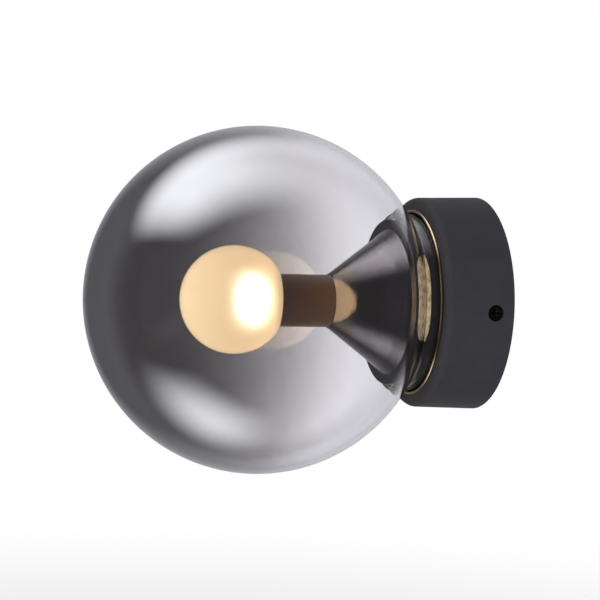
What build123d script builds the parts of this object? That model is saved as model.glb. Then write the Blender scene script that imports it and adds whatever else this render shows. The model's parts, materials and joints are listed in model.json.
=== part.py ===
from build123d import *
import math
import os

os.makedirs("parts", exist_ok=True)

# Globe wall sconce, in millimetres.
# The wall is the plane Y = 0 and the lamp stands out from it along -Y, with +Z up.
# "Out" is the distance from the wall, so a place that is 30 out lies at Y = -30.

# Canopy cup on the wall
canopy_face = 6.6  # width of the front around the glass neck
canopy_taper = 1.0  # the back is this much wider
canopy_depth = 29.7
canopy_wall = 1.5
canopy_rim_round = 2.6
canopy_edge_round = 0.4

# Glass globe and its neck
globe_radius = 75.0
glass_wall = 1.8
neck_radius = 39.3
neck_show = 6.4  # neck seen between the cup and the ball
shoulder_round = 2.4
neck_end_round = 0.7

# Ring that takes the glass neck, and its gasket
neck_clearance = 0.5
gallery_wall = 1.2
floor_wall = 1.5
floor_ledge = 8.9  # from the drum's outside in to the hole in the floor
gasket_thickness = 2.4
gasket_lip = 0.2  # gasket inside the glass
seat_gap = 0.1  # between flat faces that part

# Drum inside the neck
collar_gap = 0.6
collar_stand = 11.3  # drum in front of the cup
collar_wall = 1.2
collar_window_lip = 0.6  # from the cone's flange in to the window's edge
collar_edge_round = 0.5

# Cone
cone_height = 26.6
cone_top_edge = 0.5  # cone's top edge outside the tube
cone_hole_gap = 0.3
cone_foot_inset = 4.5  # from the drum's outside in to the cone's foot
cone_flare = 4.0  # from the foot in to the bend
cone_bend_rise = 4.5
cone_sheet = 1.7  # thickness of the sheet measured along the axis
cone_flange_wall = 1.0
cone_flange_width = 7.8

# Tube round the lampholder
sleeve_wall = 0.8
sleeve_stand = 24.7  # tube in front of the cone
sleeve_floor = 1.0

# Lamp
ball_radius = 23.5
ball_wall = 1.2
ball_flat_radius = 15.34
ball_edge_round = 0.8
lamp_gap = 0.3
lamp_neck_gap = 0.7  # between the lamp's neck and the tube
lamp_neck_length = 8.6
lamp_neck_wall = 1.4
lamp_disc_thickness = 1.6
cap_radius = 6.95
cap_wall = 0.35
cap_length = 15.5
insulator_length = 1.2
insulator_rim = 1.2  # insulator round the tip
tip_radius = 2.2
tip_length = 1.0

# Light source inside the lamp
board_thickness = 1.2
chip_count = 12
chip_side = 2.8
chip_height = 0.7
chip_ring_radius = 8.6
driver_width = 10.0
driver_length = 17.0
driver_thickness = 1.2

# Lampholder
holder_gap = 0.3
holder_wall = 2.2
holder_base = 5.0
holder_chamber = 5.0
holder_front_gap = 0.5
shell_clearance = 0.2
shell_wall = 0.75
shell_gap = 0.3  # between the shell and the body round it
block_thickness = 2.6
contact_radius = 2.2
contact_stem_radius = 1.2
contact_head = 0.8
contact_stroke = 0.7
contact_tail = 0.3  # stem behind the block
neutral_pin_radius = 0.9
neutral_tab_width = 3.0
neutral_tab_thickness = 0.6

# Hollow threaded tube and its nuts
nipple_radius = 5.0
nipple_wall = 1.7
nipple_entry = 4.5  # length screwed into the lampholder
nipple_tail = 0.8  # thread behind the rear nut
nut_flats = 14.0
nut_thickness = 3.0
washer_radius = 7.6
washer_thickness = 0.8
thread_gap = 0.05
cut_past = 1.0  # how far a cut runs past the last face

# Lamp plate and the screws through it
plate_thickness = 1.5
plate_margin = 1.0
collar_screw_count = 3
collar_screw_inset = 4.9  # from the drum's outside in to the screws
collar_screw_turn = 30.0  # degrees from +X to the first screw
collar_screw_radius = 1.5
collar_screw_tail = 1.0  # thread in front of its nut
collar_head_radius = 2.75
collar_head_height = 1.8
collar_nut_flats = 5.5
collar_nut_thickness = 2.4
screw_hole_gap = 0.2

# Rivets between cone and drum
rivet_count = 3
rivet_inset = 2.0  # from the flange's inner edge out to the rivets
rivet_turn = 90.0  # degrees from +X to the first rivet
rivet_radius = 1.0
rivet_head_radius = 1.7
rivet_head_height = 0.7

# Wall bracket
bracket_thickness = 2.0
bracket_edge_gap = 5.9  # between the plate's edge and the cup
bracket_lug_gap = 2.0  # between lug and cup
lug_past_screw = 4.6
lug_width = 12.0
lug_bend_round = 1.5
slot_spacing = 54.0
slot_length = 12.0
slot_width = 5.0

# Side screws
side_screw_out = 8.4
side_head_gap = 0.2  # between the screw's head and the cup's hole
side_head_radius = 3.3
side_head_height = 2.2
side_head_round = 0.4
side_washer_thickness = 0.8
side_shank_radius = 1.95
side_shank_tail = 2.0  # thread behind its nut
side_recess_width = 0.9
side_recess_length = 4.0
side_recess_depth = 1.3
lug_nut_flats = 7.0
lug_nut_thickness = 3.0

# Cable hole
cable_hole_drop = 17.0
cable_bore_radius = 4.5
bush_wall = 1.6
bush_flange = 1.8
bush_flange_thickness = 1.5

# Terminal block
block_width = 22.0
block_depth = 14.0
block_cover = 4.6  # block in front of its poles' axis
pole_rise = 4.0  # from the bracket up to the pole
pole_spacing = 12.0
pole_radius = 2.1
pole_wall = 0.6
pole_inset = 0.8
terminal_screw_radius = 1.2
terminal_screw_pitch = 7.0
terminal_slot_width = 0.5
block_screw_radius = 1.4
block_screw_head_radius = 2.4
block_screw_head_height = 1.6

# Leads
wire_radius = 0.9
wire_spacing = 2.4
wire_bend_radius = 4.6
wire_shift_radius = 6.0
wire_drop = 3.5  # straight down from the block
wire_slant = 4.5  # height of the slanting run
wire_straight = 3.4  # straight again above the bend
wire_nipple_gap = 1.1  # between the leads and the hollow tube's end
wire_splay = 4.4  # from the axis at the lampholder's end
wire_splay_radius = 3.0

# Earth bond
earth_x = -16.0
earth_z = -22.0
earth_screw_radius = 1.95
earth_head_radius = 3.5
earth_head_height = 2.4
earth_ring_radius = 3.6
earth_ring_thickness = 0.8
earth_barrel_length = 5.0
earth_barrel_radius = 1.5
tag_width = 5.0
tag_z = -6.0
tag_post = 2.8

# Places worked out from the sizes above, as distances out from the wall
pole_out = bracket_thickness + pole_rise
nipple_back = pole_out + wire_radius + wire_nipple_gap
plate_back = nipple_back + nipple_tail + nut_thickness + washer_thickness
floor_back = plate_back + plate_thickness
floor_front = floor_back + floor_wall
neck_end = floor_front + gasket_thickness + 2 * seat_gap
canopy_inside = canopy_depth - canopy_wall
shoulder_out = canopy_depth + neck_show
globe_out = shoulder_out + math.sqrt(globe_radius**2 - neck_radius**2)
neck_inner = neck_radius - glass_wall
globe_inner = globe_radius - glass_wall
gallery_inner = neck_radius + neck_clearance
gallery_outer = gallery_inner + gallery_wall
canopy_front_radius = gallery_inner + canopy_face
canopy_back_radius = canopy_front_radius + canopy_taper
flange_radius = canopy_front_radius - canopy_rim_round
bracket_radius = canopy_back_radius - canopy_wall - bracket_edge_gap
collar_radius = neck_inner - collar_gap
floor_bore_radius = collar_radius - floor_ledge
collar_screw_circle = collar_radius - collar_screw_inset
cone_foot_radius = collar_radius - cone_foot_inset
cone_bend_radius = cone_foot_radius - cone_flare
cone_flange_radius = cone_foot_radius - cone_flange_width
collar_window_radius = cone_flange_radius - collar_window_lip
rivet_circle = cone_flange_radius + rivet_inset
shell_inner = cap_radius + shell_clearance
shell_outer = shell_inner + shell_wall
holder_bore_radius = shell_outer + shell_gap
holder_radius = holder_bore_radius + holder_wall
sleeve_inner = holder_radius + holder_gap
sleeve_radius = sleeve_inner + sleeve_wall
lamp_neck_radius = sleeve_inner - lamp_neck_gap
cone_top_radius = sleeve_radius + cone_top_edge
collar_front = canopy_depth + collar_stand
cone_top = collar_front + cone_height
cone_bend = collar_front + cone_bend_rise
sleeve_front = cone_top + sleeve_stand
ball_back = sleeve_front + lamp_gap
ball_cut = math.sqrt(ball_radius**2 - ball_flat_radius**2)
ball_out = ball_back + ball_cut
lamp_neck_back = ball_back - lamp_neck_length
cap_back = lamp_neck_back - cap_length
insulator_back = cap_back - insulator_length
tip_back = insulator_back - tip_length
contact_front = tip_back - seat_gap
contact_seat = contact_front - contact_head
block_front = contact_seat - contact_stroke
block_back = block_front - block_thickness
holder_front = lamp_neck_back - holder_front_gap
contact_back = block_back - contact_tail
holder_floor = block_back - holder_chamber
holder_back = holder_floor - holder_base
sleeve_back = holder_back - sleeve_floor
nipple_front = holder_back + nipple_entry
nipple_bore_radius = nipple_radius - nipple_wall
side_hole_radius = side_head_radius + side_head_gap
lug_height = side_screw_out + lug_past_screw
block_height = pole_rise + block_cover
block_top = bracket_thickness + block_height
slant_bottom = wire_bend_radius + wire_straight
slant_top = slant_bottom + wire_slant
block_rise = slant_top + wire_drop
block_z = block_rise + block_depth / 2
barrel_out = bracket_thickness + earth_barrel_radius


def canopy_radius(out):
    return canopy_back_radius - (canopy_back_radius - canopy_front_radius) * out / canopy_depth


lug_face = canopy_radius(side_screw_out) - canopy_wall - bracket_lug_gap
head_face = lug_face + side_washer_thickness + side_head_height


def at(out, x=0.0, z=0.0):
    return Plane(origin=(x, -out, z), x_dir=(1, 0, 0), z_dir=(0, -1, 0))


def ring_face(inner, outer, back, front):
    with Locations(((inner + outer) / 2, -(back + front) / 2)):
        Rectangle(outer - inner, front - back)


def nut_face(flats, bore):
    RegularPolygon(flats / math.sqrt(3), 6)
    Circle(bore, mode=Mode.SUBTRACT)


def near(sketch, x, y):
    return sketch.vertices().sort_by_distance((x, y, 0))[0]


# Canopy cup: open at the wall, with a large hole in front for the glass neck
with BuildPart() as canopy_cup:
    with BuildSketch() as cup_outline:
        with BuildLine():
            Polyline(
                (canopy_back_radius, 0),
                (canopy_front_radius, -canopy_depth),
                (gallery_inner, -canopy_depth),
                (gallery_inner, -canopy_inside),
                (canopy_front_radius - canopy_wall, -canopy_inside),
                (canopy_back_radius - canopy_wall, 0),
                close=True,
            )
        make_face()
        fillet(near(cup_outline, canopy_front_radius, -canopy_depth), canopy_rim_round)
        inner_corner = near(cup_outline, canopy_front_radius - canopy_wall, -canopy_inside)
        fillet(inner_corner, canopy_rim_round - canopy_wall)
        fillet(near(cup_outline, gallery_inner, -canopy_depth), canopy_edge_round)
        fillet(near(cup_outline, canopy_back_radius, 0), canopy_edge_round)
    revolve(axis=Axis.Y)
    with BuildSketch(Plane.YZ):
        with Locations((-side_screw_out, 0)):
            Circle(side_hole_radius)
    extrude(amount=canopy_back_radius + cut_past, both=True, mode=Mode.SUBTRACT)
canopy_cup.part.label = "canopy_cup"
export_step(canopy_cup.part, "parts/canopy_cup.step")

# Glass globe: a ball with a straight open neck
with BuildPart() as glass_globe:
    outer_turn = math.degrees(math.asin((globe_out - shoulder_out) / globe_radius))
    inner_turn = math.degrees(math.acos(neck_inner / globe_inner))
    inner_shoulder = globe_out - globe_inner * math.sin(math.radians(inner_turn))
    with BuildSketch() as globe_outline:
        with BuildLine():
            CenterArc((0, -globe_out), globe_radius, -90, 90 + outer_turn)
            Polyline(
                (neck_radius, -shoulder_out),
                (neck_radius, -neck_end),
                (neck_inner, -neck_end),
                (neck_inner, -inner_shoulder),
            )
            CenterArc((0, -globe_out), globe_inner, -90, 90 + inner_turn)
            Line((0, -globe_out - globe_radius), (0, -globe_out - globe_inner))
        make_face()
        fillet(near(globe_outline, neck_radius, -shoulder_out), shoulder_round)
        fillet(near(globe_outline, neck_inner, -inner_shoulder), shoulder_round)
        fillet(near(globe_outline, neck_radius, -neck_end), neck_end_round)
        fillet(near(globe_outline, neck_inner, -neck_end), neck_end_round)
    revolve(axis=Axis.Y)
glass_globe.part.label = "glass_globe"
export_step(glass_globe.part, "parts/glass_globe.step")

# Gallery ring: spot-welded inside the cup's front, and the glass neck turns in it
with BuildPart() as gallery_ring:
    with BuildSketch():
        with BuildLine():
            Polyline(
                (gallery_inner, -canopy_inside),
                (flange_radius, -canopy_inside),
                (flange_radius, -canopy_inside + gallery_wall),
                (gallery_outer, -canopy_inside + gallery_wall),
                (gallery_outer, -floor_back),
                (floor_bore_radius, -floor_back),
                (floor_bore_radius, -floor_front),
                (gallery_inner, -floor_front),
                close=True,
            )
        make_face()
    revolve(axis=Axis.Y)
    with BuildSketch(at(floor_back)):
        with PolarLocations(collar_screw_circle, collar_screw_count, start_angle=collar_screw_turn):
            Circle(collar_screw_radius + screw_hole_gap)
    extrude(amount=floor_wall, mode=Mode.SUBTRACT)
gallery_ring.part.label = "gallery_ring"
export_step(gallery_ring.part, "parts/gallery_ring.step")

# Neck gasket
with BuildPart() as neck_gasket:
    with BuildSketch() as gasket_outline:
        ring_face(neck_inner - gasket_lip, neck_radius, floor_front + seat_gap, neck_end - seat_gap)
        fillet(gasket_outline.vertices(), neck_end_round / 2)
    revolve(axis=Axis.Y)
neck_gasket.part.label = "neck_gasket"
export_step(neck_gasket.part, "parts/neck_gasket.step")

# Drum inside the neck, open in front where the cone covers it
with BuildPart() as neck_collar:
    with BuildSketch() as collar_outline:
        with BuildLine():
            Polyline(
                (floor_bore_radius, -floor_front),
                (collar_radius, -floor_front),
                (collar_radius, -collar_front),
                (collar_window_radius, -collar_front),
                (collar_window_radius, -collar_front + collar_wall),
                (collar_radius - collar_wall, -collar_front + collar_wall),
                (collar_radius - collar_wall, -floor_front - collar_wall),
                (floor_bore_radius, -floor_front - collar_wall),
                close=True,
            )
        make_face()
        fillet(near(collar_outline, collar_radius, -collar_front), collar_edge_round)
    revolve(axis=Axis.Y)
    with BuildSketch(at(floor_front)):
        with PolarLocations(collar_screw_circle, collar_screw_count, start_angle=collar_screw_turn):
            Circle(collar_screw_radius + screw_hole_gap)
    extrude(amount=collar_wall, mode=Mode.SUBTRACT)
    with BuildSketch(at(collar_front)):
        with PolarLocations(rivet_circle, rivet_count, start_angle=rivet_turn):
            Circle(rivet_radius + thread_gap)
    extrude(amount=-collar_wall, mode=Mode.SUBTRACT)
neck_collar.part.label = "neck_collar"
export_step(neck_collar.part, "parts/neck_collar.step")

# Cone: spun from sheet, with a small flare and a flange at its foot
with BuildPart() as cone_cover:
    cone_hole_radius = sleeve_radius + cone_hole_gap
    cone_rate = (cone_top - cone_bend) / (cone_bend_radius - cone_top_radius)
    cone_lip = cone_top + (cone_top_radius - cone_hole_radius) * cone_rate
    flare_rate = cone_bend_rise / (cone_foot_radius - cone_bend_radius)
    flange_front = collar_front + cone_flange_wall
    flange_inner_foot = cone_foot_radius - (flange_front + cone_sheet - collar_front) / flare_rate
    with BuildSketch():
        with BuildLine():
            Polyline(
                (cone_hole_radius, -cone_lip),
                (cone_bend_radius, -cone_bend),
                (cone_foot_radius, -collar_front),
                (cone_flange_radius, -collar_front),
                (cone_flange_radius, -flange_front),
                (flange_inner_foot, -flange_front),
                (cone_bend_radius, -cone_bend + cone_sheet),
                (cone_hole_radius, -cone_lip + cone_sheet),
                close=True,
            )
        make_face()
    revolve(axis=Axis.Y)
    with BuildSketch(at(collar_front)):
        with PolarLocations(rivet_circle, rivet_count, start_angle=rivet_turn):
            Circle(rivet_radius + thread_gap)
    extrude(amount=cone_flange_wall, mode=Mode.SUBTRACT)
cone_cover.part.label = "cone_cover"
export_step(cone_cover.part, "parts/cone_cover.step")

# Rivets between the drum's face and the cone's flange
with BuildPart() as cone_rivets:
    rivet_back = collar_front - collar_wall
    with PolarLocations(rivet_circle, rivet_count, start_angle=rivet_turn) as rivet_places:
        rivet_spots = [(place.position.X, place.position.Y) for place in rivet_places]
    with BuildSketch(at(rivet_back - rivet_head_height)):
        with Locations(*rivet_spots):
            Circle(rivet_head_radius)
    extrude(amount=rivet_head_height)
    with BuildSketch(at(rivet_back)):
        with Locations(*rivet_spots):
            Circle(rivet_radius)
    extrude(amount=collar_wall + cone_flange_wall)
    with BuildSketch(at(flange_front)):
        with Locations(*rivet_spots):
            Circle(rivet_head_radius)
    extrude(amount=rivet_head_height)
cone_rivets.part.label = "cone_rivets"
export_step(cone_rivets.part, "parts/cone_rivets.step")

# Tube round the lampholder, with a floor that its nut clamps
with BuildPart() as socket_sleeve:
    with BuildSketch():
        with BuildLine():
            Polyline(
                (nipple_radius + screw_hole_gap, -sleeve_back),
                (sleeve_radius, -sleeve_back),
                (sleeve_radius, -sleeve_front),
                (sleeve_inner, -sleeve_front),
                (sleeve_inner, -holder_back),
                (nipple_radius + screw_hole_gap, -holder_back),
                close=True,
            )
        make_face()
    revolve(axis=Axis.Y)
socket_sleeve.part.label = "socket_sleeve"
export_step(socket_sleeve.part, "parts/socket_sleeve.step")

# Lamp plate behind the drum
with BuildPart() as lamp_plate:
    with BuildSketch(at(plate_back)):
        Circle(collar_radius - plate_margin)
        Circle(nipple_radius + screw_hole_gap, mode=Mode.SUBTRACT)
        with PolarLocations(collar_screw_circle, collar_screw_count, start_angle=collar_screw_turn):
            Circle(collar_screw_radius + screw_hole_gap, mode=Mode.SUBTRACT)
    extrude(amount=plate_thickness)
lamp_plate.part.label = "lamp_plate"
export_step(lamp_plate.part, "parts/lamp_plate.step")

# Screws through plate, ring and drum, put in from behind, and their nuts
with BuildPart() as collar_screws:
    with BuildSketch(at(plate_back)):
        with PolarLocations(collar_screw_circle, collar_screw_count, start_angle=collar_screw_turn):
            Circle(collar_screw_radius)
    extrude(amount=plate_thickness + floor_wall + collar_wall + collar_nut_thickness + collar_screw_tail)
    with BuildSketch(at(plate_back)):
        with PolarLocations(collar_screw_circle, collar_screw_count, start_angle=collar_screw_turn):
            Circle(collar_head_radius)
    extrude(amount=-collar_head_height)
    with BuildSketch(at(plate_back - collar_head_height)):
        with PolarLocations(collar_screw_circle, collar_screw_count, start_angle=collar_screw_turn):
            Rectangle(2 * collar_head_radius, side_recess_width)
    extrude(amount=collar_head_height / 2, mode=Mode.SUBTRACT)
collar_screws.part.label = "collar_screws"
export_step(collar_screws.part, "parts/collar_screws.step")

with BuildPart() as collar_nuts:
    with BuildSketch(at(floor_front + collar_wall)):
        with PolarLocations(collar_screw_circle, collar_screw_count, start_angle=collar_screw_turn):
            nut_face(collar_nut_flats, collar_screw_radius + thread_gap)
    extrude(amount=collar_nut_thickness)
collar_nuts.part.label = "collar_nuts"
export_step(collar_nuts.part, "parts/collar_nuts.step")

# Hollow threaded tube from the lamp plate to the lampholder
with BuildPart() as nipple:
    with BuildSketch():
        ring_face(nipple_bore_radius, nipple_radius, nipple_back, nipple_front)
    revolve(axis=Axis.Y)
nipple.part.label = "nipple"
export_step(nipple.part, "parts/nipple.step")

# Nuts on it: behind the lamp plate, in front of it, and behind the tube's floor
rear_nut_back = plate_back - washer_thickness - nut_thickness
sleeve_nut_back = sleeve_back - washer_thickness - nut_thickness
with BuildPart() as nipple_nuts:
    for nut_back in (rear_nut_back, floor_back, sleeve_nut_back):
        with BuildSketch(at(nut_back)):
            nut_face(nut_flats, nipple_radius + thread_gap)
        extrude(amount=nut_thickness)
nipple_nuts.part.label = "nipple_nuts"
export_step(nipple_nuts.part, "parts/nipple_nuts.step")

with BuildPart() as lock_washers:
    for washer_back in (plate_back - washer_thickness, sleeve_back - washer_thickness):
        with BuildSketch(at(washer_back)):
            Circle(washer_radius)
            Circle(nipple_radius + screw_hole_gap, mode=Mode.SUBTRACT)
        extrude(amount=washer_thickness)
lock_washers.part.label = "lock_washers"
export_step(lock_washers.part, "parts/lock_washers.step")

# Lampholder body: a cup with a threaded hole in its base
with BuildPart() as holder_body:
    with BuildSketch():
        with BuildLine():
            Polyline(
                (nipple_radius + thread_gap, -holder_back),
                (holder_radius, -holder_back),
                (holder_radius, -holder_front),
                (holder_bore_radius, -holder_front),
                (holder_bore_radius, -holder_floor),
                (nipple_radius + thread_gap, -holder_floor),
                close=True,
            )
        make_face()
    revolve(axis=Axis.Y)
holder_body.part.label = "holder_body"
export_step(holder_body.part, "parts/holder_body.step")

# Block inside it that carries the contacts
neutral_x = -(shell_inner + shell_wall / 2)
with BuildPart() as contact_block:
    with BuildSketch(at(block_back)):
        Circle(holder_bore_radius - thread_gap)
        Circle(contact_stem_radius + thread_gap, mode=Mode.SUBTRACT)
        with Locations((neutral_x + neutral_pin_radius / 2, 0)):
            Circle(neutral_pin_radius + thread_gap, mode=Mode.SUBTRACT)
    extrude(amount=block_thickness)
contact_block.part.label = "contact_block"
export_step(contact_block.part, "parts/contact_block.step")

with BuildPart() as holder_shell:
    with BuildSketch():
        ring_face(shell_inner, shell_outer, block_front, holder_front)
    revolve(axis=Axis.Y)
holder_shell.part.label = "holder_shell"
export_step(holder_shell.part, "parts/holder_shell.step")

with BuildPart() as neutral_contact:
    with BuildSketch(at(block_back, neutral_x + neutral_pin_radius / 2)):
        Circle(neutral_pin_radius)
    extrude(amount=block_thickness)
    with BuildSketch(at(block_back, (neutral_x - wire_splay) / 2 + wire_radius / 2)):
        Rectangle(-neutral_x - wire_splay + wire_radius, neutral_tab_width)
    extrude(amount=-neutral_tab_thickness)
neutral_contact.part.label = "neutral_contact"
export_step(neutral_contact.part, "parts/neutral_contact.step")

# Sprung centre contact
with BuildPart() as centre_contact:
    with BuildSketch():
        with BuildLine():
            Polyline(
                (0, -contact_back),
                (contact_stem_radius, -contact_back),
                (contact_stem_radius, -contact_seat),
                (contact_radius, -contact_seat),
                (contact_radius, -contact_front),
                (0, -contact_front),
                close=True,
            )
        make_face()
    revolve(axis=Axis.Y)
centre_contact.part.label = "centre_contact"
export_step(centre_contact.part, "parts/centre_contact.step")

# Lamp: the opal ball, cut flat at the back
with BuildPart() as bulb_diffuser:
    ball_inner = ball_radius - ball_wall
    flat_turn = math.degrees(math.asin(ball_cut / ball_radius))
    hole_turn = math.degrees(math.asin(ball_cut / ball_inner))
    flat_radius = ball_radius * math.cos(math.radians(flat_turn))
    lamp_disc_radius = ball_inner * math.cos(math.radians(hole_turn))
    with BuildSketch() as ball_outline:
        with BuildLine():
            CenterArc((0, -ball_out), ball_radius, -90, 90 + flat_turn)
            Line((flat_radius, -ball_back), (lamp_disc_radius, -ball_back))
            CenterArc((0, -ball_out), ball_inner, -90, 90 + hole_turn)
            Line((0, -ball_out - ball_radius), (0, -ball_out - ball_inner))
        make_face()
        fillet(near(ball_outline, flat_radius, -ball_back), ball_edge_round)
    revolve(axis=Axis.Y)
bulb_diffuser.part.label = "bulb_diffuser"
export_step(bulb_diffuser.part, "parts/bulb_diffuser.step")

# Lamp body: a disc that closes the ball and a hollow neck
disc_front = ball_back + lamp_disc_thickness
with BuildPart() as bulb_collar:
    with BuildSketch():
        with BuildLine():
            Polyline(
                (cap_radius, -lamp_neck_back),
                (lamp_neck_radius, -lamp_neck_back),
                (lamp_neck_radius, -ball_back),
                (lamp_disc_radius - thread_gap, -ball_back),
                (lamp_disc_radius - thread_gap, -disc_front),
                (lamp_neck_radius - lamp_neck_wall, -disc_front),
                (lamp_neck_radius - lamp_neck_wall, -lamp_neck_back - lamp_neck_wall),
                (cap_radius, -lamp_neck_back - lamp_neck_wall),
                close=True,
            )
        make_face()
    revolve(axis=Axis.Y)
bulb_collar.part.label = "bulb_collar"
export_step(bulb_collar.part, "parts/bulb_collar.step")

# Lamp cap: a screwed shell that runs up into the neck
with BuildPart() as bulb_screw_cap:
    with BuildSketch():
        ring_face(cap_radius - cap_wall, cap_radius - thread_gap, cap_back, lamp_neck_back + lamp_neck_wall)
    revolve(axis=Axis.Y)
bulb_screw_cap.part.label = "bulb_screw_cap"
export_step(bulb_screw_cap.part, "parts/bulb_screw_cap.step")

with BuildPart() as bulb_insulator:
    with BuildSketch():
        with BuildLine():
            Polyline(
                (0, -insulator_back),
                (tip_radius + insulator_rim, -insulator_back),
                (cap_radius - cap_wall, -cap_back + seat_gap / 2),
                (0, -cap_back + seat_gap / 2),
                close=True,
            )
        make_face()
    revolve(axis=Axis.Y)
bulb_insulator.part.label = "bulb_insulator"
export_step(bulb_insulator.part, "parts/bulb_insulator.step")

with BuildPart() as bulb_tip:
    with BuildSketch(at(tip_back)):
        Circle(tip_radius)
    extrude(amount=tip_length)
    fillet(bulb_tip.edges().group_by(Axis.Y)[-1], tip_length / 2)
bulb_tip.part.label = "bulb_tip"
export_step(bulb_tip.part, "parts/bulb_tip.step")

# Light source on the disc, and its driver in the neck
with BuildPart() as led_board:
    with BuildSketch(at(disc_front)):
        Circle(lamp_disc_radius - 2 * thread_gap)
    extrude(amount=board_thickness)
led_board.part.label = "led_board"
export_step(led_board.part, "parts/led_board.step")

with BuildPart() as led_chips:
    with BuildSketch(at(disc_front + board_thickness)):
        with PolarLocations(chip_ring_radius, chip_count):
            Rectangle(chip_side, chip_side)
    extrude(amount=chip_height)
led_chips.part.label = "led_chips"
export_step(led_chips.part, "parts/led_chips.step")

with BuildPart() as driver_board:
    with BuildSketch(at(disc_front - driver_length)):
        Rectangle(driver_width, driver_thickness)
    extrude(amount=driver_length)
driver_board.part.label = "driver_board"
export_step(driver_board.part, "parts/driver_board.step")

# Wall bracket: a round plate with wall slots and two bent lugs
with BuildPart() as wall_bracket:
    with BuildSketch(at(0)):
        Circle(bracket_radius)
        Rectangle(2 * lug_face, lug_width)
    extrude(amount=bracket_thickness)
    with BuildSketch(at(0)):
        with Locations((lug_face - bracket_thickness / 2, 0), (bracket_thickness / 2 - lug_face, 0)):
            Rectangle(bracket_thickness, lug_width)
    extrude(amount=lug_height)
    bend_edges = wall_bracket.edges().filter_by(Axis.Z).group_by(Axis.Y)[-1]
    fillet(bend_edges, lug_bend_round)
    with BuildSketch(Plane.YZ):
        with Locations((-side_screw_out, 0)):
            Circle(side_shank_radius + thread_gap)
    extrude(amount=lug_face + cut_past, both=True, mode=Mode.SUBTRACT)
    with BuildSketch(at(0)):
        with Locations((-slot_spacing / 2, 0), (slot_spacing / 2, 0)):
            SlotOverall(slot_length, slot_width)
        with Locations((0, -cable_hole_drop)):
            Circle(cable_bore_radius + bush_wall + thread_gap)
        with Locations((0, block_z)):
            Circle(block_screw_radius + thread_gap)
        with Locations((earth_x, earth_z)):
            Circle(earth_screw_radius + thread_gap)
    extrude(amount=bracket_thickness, mode=Mode.SUBTRACT)
wall_bracket.part.label = "wall_bracket"
export_step(wall_bracket.part, "parts/wall_bracket.step")

# Nuts behind the lugs, washers and side screws, right and left
lug_back = lug_face - bracket_thickness
side_shank_length = side_washer_thickness + bracket_thickness + lug_nut_thickness + side_shank_tail
with BuildPart() as lug_nuts:
    for side in (1, -1):
        with BuildSketch(Plane(origin=(side * lug_back, -side_screw_out, 0), z_dir=(-side, 0, 0))):
            nut_face(lug_nut_flats, side_shank_radius + thread_gap)
        extrude(amount=lug_nut_thickness)
lug_nuts.part.label = "lug_nuts"
export_step(lug_nuts.part, "parts/lug_nuts.step")

for side, word in ((1, "right"), (-1, "left")):
    with BuildPart() as screw_washer:
        with BuildSketch(Plane(origin=(side * lug_face, -side_screw_out, 0), z_dir=(side, 0, 0))):
            Circle(side_head_radius)
            Circle(side_shank_radius + screw_hole_gap, mode=Mode.SUBTRACT)
        extrude(amount=side_washer_thickness)
    screw_washer.part.label = f"{word}_screw_washer"
    export_step(screw_washer.part, f"parts/{word}_screw_washer.step")

    under_head = lug_face + side_washer_thickness
    with BuildPart() as side_screw:
        with BuildSketch(Plane(origin=(side * under_head, -side_screw_out, 0), z_dir=(side, 0, 0))):
            Circle(side_head_radius)
        extrude(amount=side_head_height)
        fillet(side_screw.edges().sort_by(Axis.X, reverse=side > 0)[0], side_head_round)
        with BuildSketch(Plane(origin=(side * under_head, -side_screw_out, 0), z_dir=(-side, 0, 0))):
            Circle(side_shank_radius)
        extrude(amount=side_shank_length)
        with BuildSketch(Plane(origin=(side * head_face, -side_screw_out, 0), z_dir=(-side, 0, 0))):
            Rectangle(side_recess_length, side_recess_width)
            Rectangle(side_recess_width, side_recess_length)
        extrude(amount=side_recess_depth, mode=Mode.SUBTRACT)
    side_screw.part.label = f"side_screw_{word}"
    export_step(side_screw.part, f"parts/side_screw_{word}.step")

# Bush in the cable hole, put in from the front
with BuildPart() as cable_bush:
    with BuildSketch(at(seat_gap, 0, -cable_hole_drop)):
        Circle(cable_bore_radius + bush_wall)
    extrude(amount=bracket_thickness - seat_gap)
    with BuildSketch(at(bracket_thickness, 0, -cable_hole_drop)):
        Circle(cable_bore_radius + bush_wall + bush_flange)
    extrude(amount=bush_flange_thickness)
    with BuildSketch(at(0, 0, -cable_hole_drop)):
        Circle(cable_bore_radius)
    extrude(amount=bracket_thickness + bush_flange_thickness, mode=Mode.SUBTRACT)
cable_bush.part.label = "cable_bush"
export_step(cable_bush.part, "parts/cable_bush.step")

# Terminal block with two poles
pole_places = [(-pole_spacing / 2, 0), (pole_spacing / 2, 0)]
screw_rows = (-terminal_screw_pitch / 2, terminal_screw_pitch / 2)
screw_places = [(x, z) for x, _ in pole_places for z in screw_rows]
block_floor = Plane(origin=(0, -pole_out, block_rise), x_dir=(1, 0, 0), z_dir=(0, 0, 1))
with BuildPart() as terminal_block:
    with BuildSketch(at(bracket_thickness, 0, block_z)):
        Rectangle(block_width, block_depth)
    extrude(amount=block_height)
    with BuildSketch(block_floor):
        with Locations(*pole_places):
            Circle(pole_radius + thread_gap)
    extrude(amount=block_depth, mode=Mode.SUBTRACT)
    with BuildSketch(at(pole_out, 0, block_z)):
        with Locations(*screw_places):
            Circle(terminal_screw_radius + screw_hole_gap)
    extrude(amount=block_height, mode=Mode.SUBTRACT)
    with BuildSketch(at(bracket_thickness, 0, block_z)):
        Circle(block_screw_radius + screw_hole_gap)
    extrude(amount=block_height, mode=Mode.SUBTRACT)
    with BuildSketch(at(block_top - block_screw_head_height - screw_hole_gap, 0, block_z)):
        Circle(block_screw_head_radius + screw_hole_gap)
    extrude(amount=block_height, mode=Mode.SUBTRACT)
terminal_block.part.label = "terminal_block"
export_step(terminal_block.part, "parts/terminal_block.step")

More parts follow.
